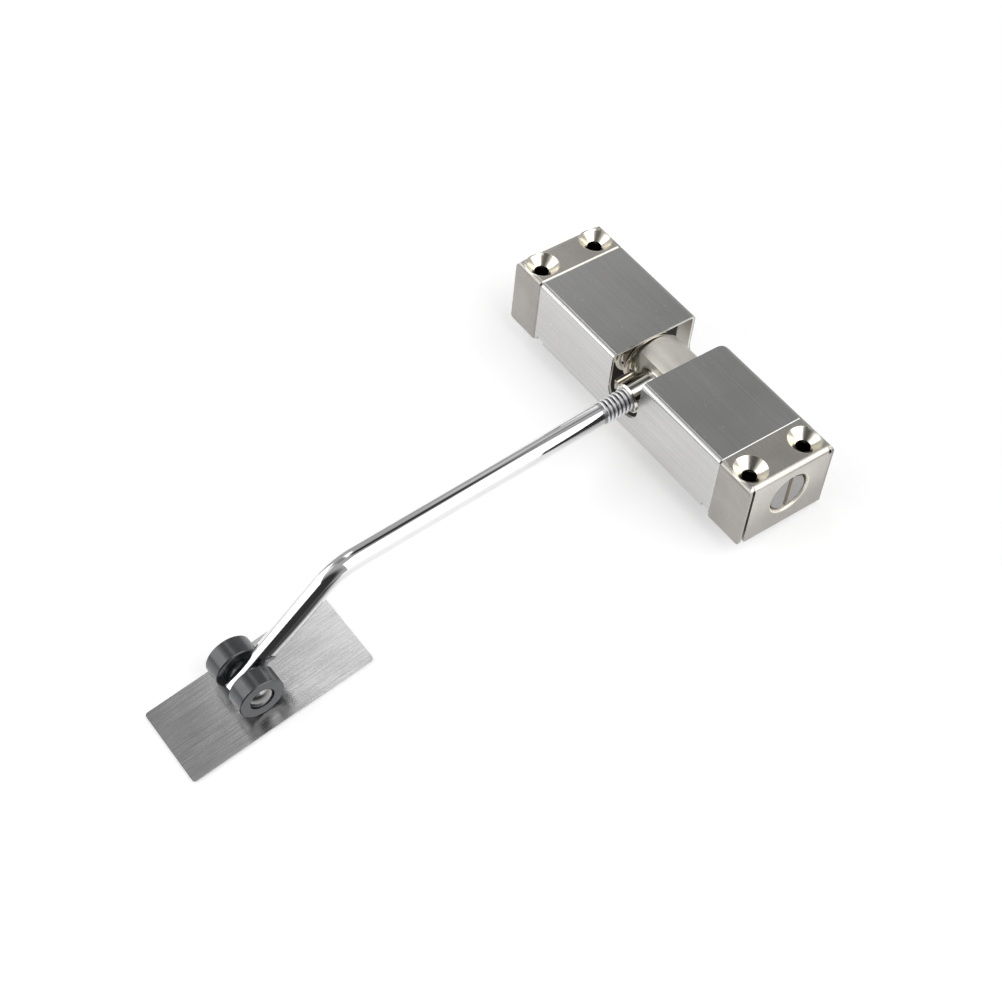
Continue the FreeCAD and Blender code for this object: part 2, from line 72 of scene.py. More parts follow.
def pickPoints(piece, test):
    pickPiece(piece)
    bpy.ops.object.mode_set(mode="EDIT")
    bpy.ops.mesh.select_mode(type="VERT")
    bpy.ops.mesh.select_all(action="DESELECT")
    bpy.ops.object.mode_set(mode="OBJECT")
    for point in piece.data.vertices:
        point.select = test(point.co)
    bpy.ops.object.mode_set(mode="EDIT")


def pushOut(step):
    bpy.ops.mesh.extrude_region_move(TRANSFORM_OT_translate={"value": step})


def settle(piece, place=(0, 0, 0), turn=0.0):
    pickPiece(piece)
    piece.location = place
    piece.rotation_euler = (turn, 0, 0)
    bpy.ops.object.transform_apply(location=True, rotation=True, scale=True)


def useModifier(piece, kind, **settings):
    pickPiece(piece)
    modifier = piece.modifiers.new(kind.lower(), kind)
    for name, value in settings.items():
        setattr(modifier, name, value)
    bpy.ops.object.modifier_apply(modifier=modifier.name)


def closeUp(piece, smooth=35):
    pickPiece(piece)
    bpy.ops.object.mode_set(mode="EDIT")
    bpy.ops.mesh.select_all(action="SELECT")
    bpy.ops.mesh.remove_doubles(threshold=weld)
    bpy.ops.mesh.normals_make_consistent(inside=False)
    bpy.ops.object.mode_set(mode="OBJECT")
    bpy.ops.object.shade_smooth_by_angle(angle=math.radians(smooth))


def finishPiece(piece, finish, body=None):
    piece.data.materials.clear()
    piece.data.materials.append(finish.owner)
    if body:
        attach(piece, body)


# shader maths on sockets

class Value:
    def __init__(self, finish, socket):
        self.finish = finish
        self.socket = socket

    def join(self, operation, other, swapped=False):
        first, second = (other, self) if swapped else (self, other)
        return self.finish.add("ShaderNodeMath", {"operation": operation}, {0: first, 1: second})

    def __add__(self, other):
        return self.join("ADD", other)

    def __radd__(self, other):
        return self.join("ADD", other, True)

    def __sub__(self, other):
        return self.join("SUBTRACT", other)

    def __rsub__(self, other):
        return self.join("SUBTRACT", other, True)

    def __mul__(self, other):
        return self.join("MULTIPLY", other)

    def __rmul__(self, other):
        return self.join("MULTIPLY", other, True)

    def __pow__(self, other):
        return self.join("POWER", other)

    def __abs__(self):
        return self.join("ABSOLUTE", 0)


class Finish:
    def __init__(self, owner, slot=None):
        owner.use_nodes = True
        self.owner = owner  # a material, or the world
        self.tree = owner.node_tree
        self.tree.nodes.clear()
        self.slot = slot

    def add(self, kind, settings=None, inputs=None, output=0):
        node = self.tree.nodes.new(kind)
        for name, value in (settings or {}).items():
            setattr(node, name, value)
        for name, value in (inputs or {}).items():
            if isinstance(value, Value):
                self.tree.links.new(value.socket, node.inputs[name])
            else:
                node.inputs[name].default_value = value
        return Value(self, node.outputs[output]) if node.outputs else None

    def place(self):
        return self.add("ShaderNodeTexCoord", output="Object")

    def coordinate(self, axis):
        return self.add("ShaderNodeSeparateXYZ", inputs={0: self.place()}, output=axis)

    def laid(self, turn, stretch, move=(0, 0, 0)):
        moved = self.add("ShaderNodeMapping", inputs={
            "Vector": self.place(), "Location": move, "Rotation": turn})
        return self.add("ShaderNodeMapping", inputs={"Vector": moved, "Scale": stretch})

    def noise(self, where, scale, detail, rough):
        return self.add("ShaderNodeTexNoise", {"noise_dimensions": "3D"}, {
            "Vector": where, "Scale": scale, "Detail": detail, "Roughness": rough}, "Fac")

    def between(self, value, low, high):
        return self.add("ShaderNodeMapRange", {"clamp": True, "interpolation_type": "SMOOTHSTEP"}, {
            0: value, 1: low, 2: high, 3: 0.0, 4: 1.0})

    def over(self, value, span):
        return self.between(value, span[0] * mm, span[1] * mm)

    def blend(self, share, first, second):
        return self.add("ShaderNodeMix", {"data_type": "RGBA"}, {0: share, 6: first, 7: second}, 2)

    def relief(self, height, depth):
        return self.add("ShaderNodeBump", inputs={
            "Height": height, "Distance": depth, "Strength": 1.0}, output="Normal")

    def principled(self, **inputs):
        names = {"colour": "Base Color", "metal": "Metallic", "rough": "Roughness", "normal": "Normal",
                 "coat": "Coat Weight", "ior": "IOR", "specular": "Specular IOR Level",
                 "glow": "Emission Color", "glowStrength": "Emission Strength"}
        return self.add("ShaderNodeBsdfPrincipled", inputs={names[k]: v for k, v in inputs.items()})

    def show(self, **inputs):
        shader = self.principled(**inputs)
        self.add("ShaderNodeOutputMaterial", inputs={"Surface": shader})
        return self


def newFinish(name, slot=None):
    return Finish(bpy.data.materials.new(name), slot)


# finishes: every pair of numbers called a span is a distance in mm over which a mask fades in

def grey(level, warm=0.0):
    return (level * (1 + warm), level, level * (1 - 1.6 * warm), 1.0)


def fromLine(first, second):
    return (first * first + second * second) ** 0.5


screwHoles = {"x": 42.7, "y": 9.0}  # where the holes stand on either side of the origin, mm


def fromScrewHole(f):
    x, y = abs(f.coordinate(0)), abs(f.coordinate(1))
    return fromLine(x - screwHoles["x"] * mm, y - screwHoles["y"] * mm)


def brushedGrain(f, look):
    turn = look["grainTurn"]
    hair = f.noise(f.laid(turn, look["hairStretch"]), 1.0, 2.0, 0.5)
    streak = f.noise(f.laid(turn, look["streakStretch"], look["streakMove"]), 1.0, 3.0, 0.6)
    cloud = f.noise(f.place(), look["cloudScale"], 3.0, 0.5)
    grain = hair * (1 - look["streaks"]) + streak * look["streaks"]
    tone = f.between(grain * 0.75 + cloud * 0.25, 0.30, 0.70)
    colour = f.blend(tone, grey(look["dark"], look["warm"]), grey(look["light"], look["warm"]))
    rough = look["rough"] + (grain - 0.5) * look["roughSpread"] + (cloud - 0.5) * 0.08
    return colour, rough, grain, streak


coverLook = {
    "grainTurn": (0, 0, 0), "hairStretch": (45, 7000, 7000), "streakStretch": (12, 1500, 1500),
    "streakMove": (0.3, 0.1, 0.2), "streaks": 0.1, "cloudScale": 60.0, "dark": 0.565, "light": 0.625,
    "warm": 0.008, "rough": 0.24, "roughSpread": 0.06, "depth": 0.0015 * mm,
    "specks": 0.5, "speckScale": 900.0, "speckTone": 1.2,
    "sideStreaks": 0.4, "sideTone": 0.8, "sideSpan": (13.5, 13.7), "wallSpan": (13.45, 13.65),
    # inner walls: a painted lit cream near the notch, fading into a painted near-black shade deeper in
    "roofSpan": (20.2, 20.4), "deepSpan": (11.0, 11.6), "inner": (0.95, 0.93, 0.88, 1.0),
    "paintedDeepShade": (0.05, 0.05, 0.05, 1.0), "innerRough": 0.1, "innerDull": 0.3,
}


def coverSteel(look):
    f = newFinish("coverSteel", "cover_steel")
    x, y, z = (f.coordinate(axis) for axis in range(3))
    brushed, rough, grain, streak = brushedGrain(f, look)
    speck = f.between(f.noise(f.place(), look["speckScale"], 2.0, 0.5), 0.66, 0.74)
    brushed = f.blend(speck * look["specks"], brushed, grey(look["light"] * look["speckTone"], look["warm"]))
    onSide = f.over(abs(y), look["sideSpan"])
    scratched = onSide * (1 - f.between(streak, 0.35, 0.65)) * look["sideStreaks"]
    brushed = f.blend(scratched, brushed, grey(look["dark"] * look["sideTone"], look["warm"]))
    inside = (1 - f.over(abs(y), look["wallSpan"])) * (1 - f.over(z, look["roofSpan"]))
    paintedWallLightShade = f.blend(f.over(abs(x - shaftPlace.x), look["deepSpan"]), look["inner"], look["paintedDeepShade"])
    colour = f.blend(inside, brushed, paintedWallLightShade)  # painted light and shade: the inner walls are a lit cream near the slot and a painted dark shade away from it
    return f.show(colour=colour, metal=1 - inside * look["innerDull"],
                  rough=rough + inside * look["innerRough"], normal=f.relief(grain, look["depth"]))


plateTilt = math.radians(12.1)
plateLook = {
    "grainTurn": (-plateTilt, 0, -math.pi / 2), "hairStretch": (45, 7000, 7000),
    "streakStretch": (130, 5200, 5200), "streakMove": (0.3, 0.1, 0.2), "streaks": 0.5, "cloudScale": 60.0,
    "dark": 0.47, "light": 0.70, "warm": 0.0, "rough": 0.16, "roughSpread": 0.06, "depth": 0.05 * mm,
}


def plateSteel(look):
    f = newFinish("plateSteel", "plate_steel")
    colour, rough, grain = brushedGrain(f, look)[:3]
    return f.show(colour=colour, metal=1.0, rough=rough, normal=f.relief(grain, look["depth"]))


capLook = {
    "dark": 0.55, "light": 0.67, "warm": 0.045, "rough": 0.28, "roughSpread": 0.08,
    "hairStretch": (70, 6500, 6500), "cloudScale": 90.0, "depth": 0.0008 * mm,
    # painted shade: the cap's end is darker low down and lighter up high, and its sides are darker
    "endShadeLow": 0.60, "endShadeHigh": 0.90, "side": 0.58,
    "sideSpan": (13.0, 13.7), "endSpan": (47.0, 47.6), "riseSpan": (2.0, 17.0),
    "coneSpan": (4.65, 4.85), "coneDepthSpan": (15.4, 15.8), "cone": (0.88, 0.84, 0.74, 1.0),
    "coneRough": 0.22, "mouthSpan": (6.3, 6.7), "mouthFromSpan": (44.0, 45.0),
    # painted light: a bright cream on the lip of the adjuster's hole
    "paintedLipLight": (0.92, 0.88, 0.76, 1.0), "mouthDull": 0.6,
}


def capNickel(look):
    f = newFinish("capNickel", "cap_steel")
    x, y, z = (f.coordinate(axis) for axis in range(3))
    hair = f.noise(f.laid((0, 0, 0), look["hairStretch"]), 1.0, 2.0, 0.5)
    cloud = f.noise(f.place(), look["cloudScale"], 3.0, 0.5)
    tone = f.between(hair * 0.2 + cloud * 0.8, 0.25, 0.75)
    sheet = f.blend(tone, grey(look["dark"], look["warm"]), grey(look["light"], look["warm"]))
    # painted shade: the sides are painted darker, and the end is darker low down and lighter towards the top
    onSide = f.over(abs(y), look["sideSpan"])
    onEnd = f.over(abs(x - shaftPlace.x), look["endSpan"]) * (1 - onSide)
    endPaintedShade = look["endShadeLow"] + f.over(z, look["riseSpan"]) * (look["endShadeHigh"] - look["endShadeLow"])
    shade = (1 - onSide - onEnd) + onEnd * endPaintedShade + onSide * look["side"]
    sheet = f.blend(shade, (0, 0, 0, 1), sheet)
    fromHole = fromScrewHole(f)
    inCone = (1 - f.over(fromHole, look["coneSpan"])) * f.over(z - fromHole, look["coneDepthSpan"])
    colour = f.blend(inCone, sheet, look["cone"])
    fromMouth = fromLine(y - shaftPlace.y, z - shaftPlace.z)  # the hole that shows the adjuster
    # painted light: the lip of this hole is painted bright cream and made less metallic, so it reads lit
    inMouth = (1 - f.over(fromMouth, look["mouthSpan"])) * f.over(x, look["mouthFromSpan"])
    colour = f.blend(inMouth, colour, look["paintedLipLight"])
    rough = (look["rough"] + (hair - 0.5) * look["roughSpread"]) * (1 - inCone) + inCone * look["coneRough"]
    return f.show(colour=colour, metal=1 - inMouth * look["mouthDull"], rough=rough,
                  normal=f.relief(hair * (1 - inCone), look["depth"]))


nickelLook = {"low": (0.72, 0.70, 0.64, 1), "high": (0.82, 0.79, 0.72, 1), "satin": 0.42, "polished": 0.17,
              "roughSpread": 0.10, "satinMetal": 0.6, "hairStretch": (400, 2600, 2600), "cloudScale": 240.0,
              "depth": 0.004 * mm, "bossSpan": (5.05, 5.55)}


def hubNickel(look):
    f = newFinish("hubNickel", "hub_nickel")
    y = f.coordinate(1) - shaftPlace.y
    z = f.coordinate(2) - shaftPlace.z
    along = y * -math.cos(armDrop) + z * -math.sin(armDrop)
    boss = f.over(along, look["bossSpan"])  # the socket is polished, the barrel satin
    hair = f.noise(f.laid((0, 0, 0), look["hairStretch"]), 1.0, 3.0, 0.6)
    cloud = f.noise(f.place(), look["cloudScale"], 3.0, 0.5)
    colour = f.blend(f.between(cloud * 0.5 + hair * 0.5, 0.3, 0.7), look["low"], look["high"])
    rough = look["satin"] * (1 - boss) + look["polished"] * boss + (hair - 0.5) * look["roughSpread"]
    return f.show(colour=colour, metal=look["satinMetal"] + boss * (1 - look["satinMetal"]), rough=rough,
                  normal=f.relief(hair, look["depth"]))


def brightPlate(f, look):
    cloud = f.noise(f.place(), look["cloudScale"], 3.0, 0.5)
    specks = f.between(f.noise(f.place(), look["speckScale"], 2.0, 0.5), 0.66, 0.74)
    colour = f.blend(cloud, look["low"], look["high"])
    rough = look["rough"] + (cloud - 0.5) * look["roughSpread"] + specks * look["specks"]
    return colour, rough, f.relief(cloud, look["depth"])


chromeLook = {"low": (0.74, 0.74, 0.75, 1), "high": (0.82, 0.82, 0.83, 1), "rough": 0.07, "roughSpread": 0.05,
              "specks": 0.10, "cloudScale": 240.0, "speckScale": 1500.0, "depth": 0.0008 * mm,
              "threadSpan": (-23.2, -22.8), "threadRough": 0.25, "grooveSpan": (2.75, 3.1),
              "paintedGrooveShade": (0.22, 0.22, 0.24, 1)}


def armChrome(look):
    f = newFinish("armChrome", "arm_chrome")
    x, y, z = (f.coordinate(axis) - armPlace[axis] for axis in range(3))
    colour, rough, normal = brightPlate(f, look)
    threaded = f.over(y, look["threadSpan"])
    above = z * math.cos(armDrop) - y * math.sin(armDrop)
    # painted shade: the thread's grooves are painted dark
    paintedGrooveShade = threaded * (1 - f.over(fromLine(x, above), look["grooveSpan"]))
    colour = f.blend(paintedGrooveShade, colour, look["paintedGrooveShade"])
    return f.show(colour=colour, metal=1.0, rough=rough + threaded * look["threadRough"], normal=normal)


springLook = {"low": (0.56, 0.52, 0.44, 1), "high": (0.70, 0.65, 0.55, 1), "rough": 0.20, "roughSpread": 0.10,
              "specks": 0.10, "cloudScale": 240.0, "speckScale": 1500.0, "depth": 0.003 * mm}


def springSteel(look):
    f = newFinish("springSteel", "spring_steel")
    colour, rough, normal = brightPlate(f, look)
    return f.show(colour=colour, metal=1.0, rough=rough, normal=normal)


turnedLook = {"low": (0.27, 0.27, 0.27, 1), "high": (0.37, 0.36, 0.35, 1), "rough": 0.16, "ringSpread": 0.12,
              "cloudSpread": 0.08, "ringStretch": (9000, 300, 300), "cloudScale": 500.0, "depth": 0.004 * mm,
              # painted light: the slot colour lightens the adjuster's screwdriver slot
              "slot": (0.55, 0.51, 0.44, 1), "slotDull": 0.8, "slotSpan": (0.70, 0.74),
              "slotFromSpan": (46.0, 46.5)}


def turnedSteel(look):
    f = newFinish("turnedSteel", "turned_steel")
    rings = f.noise(f.laid((0, 0, 0), look["ringStretch"]), 1.0, 2.0, 0.5)
    cloud = f.noise(f.place(), look["cloudScale"], 3.0, 0.5)
    fromSlot = abs(f.coordinate(1) - shaftPlace.y)  # the adjuster's screwdriver slot
    inSlot = (1 - f.over(fromSlot, look["slotSpan"])) * f.over(f.coordinate(0), look["slotFromSpan"])
    colour = f.blend(cloud, look["low"], look["high"])
    # painted light: the screwdriver slot is painted a light warm tone and made less metallic, so its walls
    # read lit
    colour = f.blend(inSlot, colour, look["slot"])
    rough = look["rough"] + (rings - 0.5) * look["ringSpread"] + (cloud - 0.5) * look["cloudSpread"]
    return f.show(colour=colour, metal=1 - inSlot * look["slotDull"], rough=rough,
                  normal=f.relief(rings, look["depth"]))


# painted shade: the hole colour darkens the inside of the screw holes
castLook = {"low": grey(0.42), "high": grey(0.56), "paintedHoleShade": grey(0.015), "holeSpan": (2.6, 3.0), "metal": 0.9,
            "rough": 0.46, "roughSpread": 0.2, "grainScale": 2600.0, "flowScale": 260.0, "depth": 0.03 * mm}


def castAlloy(look):
    f = newFinish("castAlloy", "cast_alloy")
    inHole = 1 - f.over(fromScrewHole(f), look["holeSpan"])
    grain = f.noise(f.place(), look["grainScale"], 4.0, 0.6)
    flow = f.noise(f.place(), look["flowScale"], 3.0, 0.5)
    colour = f.blend(f.between(grain * 0.5 + flow * 0.5, 0.3, 0.7), look["low"], look["high"])
    # painted shade: the screw holes are painted near-black
    colour = f.blend(inHole, colour, look["paintedHoleShade"])
    return f.show(colour=colour, metal=look["metal"], normal=f.relief(grain, look["depth"]),
                  rough=look["rough"] + (grain - 0.5) * look["roughSpread"])


bronzeLook = {"low": (0.42, 0.25, 0.10, 1), "high": (0.66, 0.45, 0.22, 1), "rough": 0.42, "roughSpread": 0.2,
              "poreScale": 4200.0, "depth": 0.01 * mm}


def bearingBronze(look):
    f = newFinish("bearingBronze", "bearing_bronze")
    pores = f.noise(f.place(), look["poreScale"], 3.0, 0.6)
    colour = f.blend(f.between(pores, 0.35, 0.65), look["low"], look["high"])
    return f.show(colour=colour, metal=1.0, rough=look["rough"] + (pores - 0.5) * look["roughSpread"],
                  normal=f.relief(pores, look["depth"]))


nylonLook = {"low": (0.013, 0.016, 0.020, 1), "high": (0.024, 0.028, 0.034, 1), "rough": 0.30,
             "roughSpread": 0.12, "ior": 1.8, "coat": 0.2, "wearCoat": 0.2, "wearRough": 0.05,
             "wearStretch": (1800, 260, 260),
             "grainScale": 3200.0, "cloudScale": 320.0, "depth": 0.0015 * mm}


def rollerNylon(look):
    f = newFinish("rollerNylon", "roller_nylon")
    grain = f.noise(f.place(), look["grainScale"], 4.0, 0.6)
    cloud = f.noise(f.place(), look["cloudScale"], 3.0, 0.5)
    wear = f.between(f.noise(f.laid((0, 0, 0), look["wearStretch"]), 1.0, 3.0, 0.5), 0.55, 0.75)
    colour = f.blend(f.between(cloud * 0.6 + grain * 0.4, 0.3, 0.7), look["low"], look["high"])
    rough = look["rough"] + (grain - 0.5) * look["roughSpread"] - wear * look["wearRough"]
    return f.show(colour=colour, metal=0.0, rough=rough, ior=look["ior"],
                  coat=look["coat"] + wear * look["wearCoat"], normal=f.relief(grain, look["depth"]))


foamLook = {"low": grey(0.62), "high": grey(0.80), "rough": 0.85, "roughSpread": 0.1, "cellScale": 3800.0,
            "depth": 0.05 * mm}


def padFoam(look):
    f = newFinish("padFoam", "pad_foam")
    cells = f.noise(f.place(), look["cellScale"], 4.0, 0.6)
    colour = f.blend(f.between(cells, 0.35, 0.65), look["low"], look["high"])
    return f.show(colour=colour, metal=0.0, rough=look["rough"] + (cells - 0.5) * look["roughSpread"],
                  normal=f.relief(cells, look["depth"]))


finishes = {
    "cover_steel": coverSteel(coverLook),
    "plate_steel": plateSteel(plateLook),
    "cap_steel": capNickel(capLook),
    "arm_chrome": armChrome(chromeLook),
    "hub_nickel": hubNickel(nickelLook),
    "spring_steel": springSteel(springLook),
    "turned_steel": turnedSteel(turnedLook),
    "cast_alloy": castAlloy(castLook),
    "bearing_bronze": bearingBronze(bronzeLook),
    "roller_nylon": rollerNylon(nylonLook),
    "pad_foam": padFoam(foamLook),
}
print("finishes ready:", len(finishes))


# rigid pieces taken from the solids, with their edges broken

sheetFold = {"width": 28.0, "height": 20.8, "radius": 1.6, "sheet": 0.8, "chamfer": 0.65, "endReach": 0.02,
             "chamfered": ("cover", "left_end_cap")}  # mm
softening = {"flatWithin": 0.4, "bevelAbove": 50, "smoothBelow": 35,  # angles in degrees
             "bevelSteps": 2, "flatWeight": 50}


def onOutside(point):
    # true on the outer face of the folded sheet, false on its inner face
    aside = max(abs(point.y) - sheetFold["width"] / 2 * mm + sheetFold["radius"] * mm, 0)
    above = max(point.z - sheetFold["height"] * mm + sheetFold["radius"] * mm, 0)
    return math.hypot(aside, above) > (sheetFold["radius"] - sheetFold["sheet"] / 2) * mm


def breakEnd(piece):
    # a flat chamfer along the end that faces +X, where cover and cap meet
    end = max(point.co.x for point in piece.data.vertices)
    pickPoints(piece, lambda p: p.x > end - sheetFold["endReach"] * mm and onOutside(p))
    bpy.ops.mesh.bevel(offset=sheetFold["chamfer"] * mm, segments=1, affect="EDGES", clamp_overlap=True)
    bpy.ops.object.mode_set(mode="OBJECT")


def softenedCopy(node, edge, body, slot):
    source = frame["nodes"][node]
    piece = source.copy()
    piece.data = source.data.copy()
    piece.parent = None
    piece.name = node + "Piece"
    bpy.context.collection.objects.link(piece)
    piece.matrix_world = Matrix.Identity(4)
    pickPiece(piece)
    bpy.ops.mesh.customdata_custom_splitnormals_clear()
    bpy.ops.object.mode_set(mode="EDIT")
    bpy.ops.mesh.select_all(action="SELECT")
    bpy.ops.mesh.remove_doubles(threshold=weld)
    bpy.ops.mesh.dissolve_limited(angle_limit=math.radians(softening["flatWithin"]))
    bpy.ops.object.mode_set(mode="OBJECT")
    if node in sheetFold["chamfered"]:
        breakEnd(piece)
    if edge:
        useModifier(piece, "BEVEL", width=edge * mm, segments=softening["bevelSteps"], limit_method="ANGLE",
                    angle_limit=math.radians(softening["bevelAbove"]), use_clamp_overlap=True)
    pickPiece(piece)
    bpy.ops.object.shade_smooth_by_angle(angle=math.radians(softening["smoothBelow"]))
    useModifier(piece, "WEIGHTED_NORMAL", mode="FACE_AREA", weight=softening["flatWeight"],
                keep_sharp=True)  # flat faces stay flat
    finishPiece(piece, finishes[slot], body)
    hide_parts(node)


edges = {  # width of the broken edge on each piece, mm
    "cover": 0.2, "left_end_cap": 0.15, "right_end_cap": 0.15,
    "left_end_block": 0.15, "right_end_block": 0.15,
    "pivot_shaft": 0, "left_thrust_washer": 0.06, "right_thrust_washer": 0.06, "tension_adjuster": 0.10,
    "adjuster_washer": 0.06, "pivot_hub": 0.12, "left_hub_bush": 0.06, "right_hub_bush": 0.06,
    "roller_axle": 0, "front_spacer": 0.08, "rear_spacer": 0.08, "front_roller": 0.06, "rear_roller": 0.06,
    "slide_plate": 0.10, "adhesive_pad": 0.05,
}
slotOf = {part["node"]: part["material_slot"] for part in frame["record"]["subparts"]}
bodyOf = {}
for bodyName, members in frame["record"]["behaviour"]["bodies"].items():
    for member in members:
        bodyOf[member] = bodyName
for node, edge in edges.items():
    softenedCopy(node, edge, bodyOf[node], slotOf[node])
print("solids dressed:", len(edges))


# arm rod: round bar with a rolled thread, a bend and a flat for the axle

armSizes = {
    "rod": 2.9, "reach": 104.0, "bend": 37.0, "bendRadius": 16.0, "tail": 36.5, "tip": 4.3,
    "flat": 2.5, "flatLength": 6.8, "ramp": 8.0, "threadStart": 4.7, "threadEnd": 22.9, "runOut": 1.1,
    "crest": 3.25, "root": 2.66, "pitch": 1.25, "sides": 64, "bendSteps": 28, "tipEdge": 0.25,
    "turnSteps": 48, "fadeSlices": 6, "fadeShare": 0.16,
}
toothSteps = ((0.04, 0.0), (0.14, 0.62), (0.10, 0.26), (0.12, 0.12), (0.10, 0.0), (0.12, -0.12),
              (0.10, -0.26), (0.14, -0.62), (0.14, 0.0))  # along and up, as shares of pitch and depth


def makeRod(s):
    bend = math.radians(s["bend"])
    setback = s["bendRadius"] * math.tan(bend / 2)
    straight = s["tail"] - setback  # from the axle to where the bend begins
    shank = s["reach"] - setback - s["threadEnd"] + s["runOut"]
    pickNothing()
    bpy.ops.mesh.primitive_circle_add(vertices=s["sides"], radius=s["rod"] * mm, fill_type="NGON",
                                      location=(0, -s["tip"] * mm, 0), rotation=(math.pi / 2, 0, 0))
    rod = bpy.context.object
    rod.name = "armRod"
    bpy.ops.object.transform_apply(location=True, rotation=True, scale=True)
    bpy.ops.object.mode_set(mode="EDIT")
    bpy.ops.mesh.select_all(action="SELECT")
    pushOut((0, (s["tip"] + straight) * mm, 0))
    bpy.ops.mesh.spin(steps=s["bendSteps"], angle=bend, axis=(1, 0, 0),
                      center=(0, straight * mm, -s["bendRadius"] * mm))
    pushOut(Vector((0, math.cos(bend), -math.sin(bend))) * shank * mm)
    bpy.ops.object.mode_set(mode="OBJECT")
    for side in (-1, 1):
        trimSide(rod, s, side)
    useModifier(rod, "BEVEL", width=s["tipEdge"] * mm, segments=3, limit_method="ANGLE",
                angle_limit=math.radians(30))
    closeUp(rod)
    axle = Vector((0, -s["reach"] - s["tail"] * math.cos(bend), -s["tail"] * math.sin(bend))) * mm
    settle(rod, armPlace + Matrix.Rotation(armDrop, 3, "X") @ axle, armDrop + bend)
    return rod


def trimSide(rod, s, side):
    # a block whose inner face is the flat, with its near edge pulled back into a ramp
    far = 2 * s["rod"] - s["flat"] / 2
    length = s["flatLength"] + 2 * s["tip"]
    pickNothing()
    bpy.ops.mesh.primitive_cube_add(size=1, location=(
        side * (s["flat"] / 2 + far / 2) * mm, (s["flatLength"] - length / 2) * mm, 0))
    block = bpy.context.object
    block.scale = (far * mm, length * mm, 4 * s["rod"] * mm)
    bpy.ops.object.transform_apply(location=True, rotation=True, scale=True)
    pickPoints(block, lambda p: p.y > 0 and p.x * side > s["rod"] * mm)
    bpy.ops.transform.translate(value=(0, s["ramp"] * mm, 0))
    bpy.ops.object.mode_set(mode="OBJECT")
    useModifier(rod, "BOOLEAN", operation="DIFFERENCE", object=block, solver="EXACT")
    bpy.data.objects.remove(block)


def makeThread(s):
    # one tooth is drawn as a line and screwed along the bar
    turns = math.ceil((s["threadEnd"] - s["threadStart"]) / s["pitch"]) + 2
    height = s["crest"] - s["root"]
    pickNothing()
    bpy.ops.mesh.primitive_plane_add(size=mm, location=(
        0, -(s["threadStart"] - s["pitch"]) * mm, s["root"] * mm))
    thread = bpy.context.object
    bpy.ops.object.transform_apply(location=True, rotation=True, scale=True)
    bpy.ops.object.mode_set(mode="EDIT")
    bpy.ops.mesh.select_all(action="SELECT")
    bpy.ops.mesh.merge(type="CENTER")
    for along, up in toothSteps:
        step = (0, -along * s["pitch"] * mm, up * height * mm)
        bpy.ops.mesh.extrude_vertices_move(TRANSFORM_OT_translate={"value": step})
    bpy.ops.object.mode_set(mode="OBJECT")
    useModifier(thread, "SCREW", axis="Y", angle=2 * math.pi, screw_offset=-s["pitch"] * mm, iterations=turns,
                steps=s["turnSteps"], render_steps=s["turnSteps"], use_merge_vertices=True,
                merge_threshold=0.001 * mm)
    for end, outward in ((s["threadStart"], 1), (s["threadEnd"], -1)):
        pickPoints(thread, lambda p: True)
        bpy.ops.mesh.bisect(plane_co=(0, -end * mm, 0), plane_no=(0, outward, 0), use_fill=True,
                            clear_outer=True, threshold=sliver)
        bpy.ops.object.mode_set(mode="OBJECT")
    slices = s["fadeSlices"]
    for i in range(slices):  # the last turn fades into the plain bar
        near = s["threadEnd"] - s["runOut"] * (slices - i) / slices
        far = s["threadEnd"] - s["runOut"] * (slices - i - 1) / slices
        fade = 1 - s["fadeShare"] * (i + 1) / slices
        pickPoints(thread, lambda p: near * mm < -p.y <= far * mm + sliver)
        bpy.ops.transform.resize(value=(fade, 1, fade), center_override=(0, -far * mm, 0))
        bpy.ops.object.mode_set(mode="OBJECT")
    closeUp(thread, smooth=50)
    settle(thread, armPlace, armDrop)
    return thread


rod = makeRod(armSizes)
thread = makeThread(armSizes)
pickPiece(rod)
thread.select_set(True)
bpy.ops.object.join()
finishPiece(rod, finishes["arm_chrome"], "arm")
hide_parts("arm_rod")
print("arm rod and thread modelled")


# torsion springs: a wire ring screwed along the shaft, then bent at both ends

coilSizes = {"wire": 0.8, "radius": 7.2, "bend": 1.2, "tang": 2.4, "stepsPerTurn": 40, "sides": 18,
             "bendSteps": 8}
leftCoil = {"from": -37.3, "to": -5.43, "fromAngle": 3600.0, "legHeight": 1.2, "legReach": 13.2,
            "held": 2.0}  # this much of the coil at the hub turns fully with it
rightCoil = {"from": 7.0, "to": 33.8, "fromAngle": 95.5, "toAngle": 3240.0, "held": 1.0}


def makeCoil(name, c, s, start, end):
    ring = onCoil(c["from"], start, s)
    pickNothing()
    bpy.ops.mesh.primitive_circle_add(vertices=s["sides"], radius=s["wire"] * mm, fill_type="NOTHING",
                                      location=ring, rotation=(start, 0, 0))
    coil = bpy.context.object
    coil.name = name
    bpy.ops.object.transform_apply(location=True, rotation=True, scale=True)
    steps = round(abs(end - start) / (2 * math.pi) * s["stepsPerTurn"])
    useModifier(coil, "SCREW", axis="X", angle=end - start, iterations=1, steps=steps,
                screw_offset=(c["to"] - c["from"]) * mm, render_steps=steps, use_merge_vertices=False)
    return coil


def onCoil(x, angle, s):
    return Vector((x, s["radius"] * math.cos(angle), s["radius"] * math.sin(angle))) * mm


def pickRing(coil, centre, s):
    pickPoints(coil, lambda p: abs((p - centre).length - s["wire"] * mm) < weld)


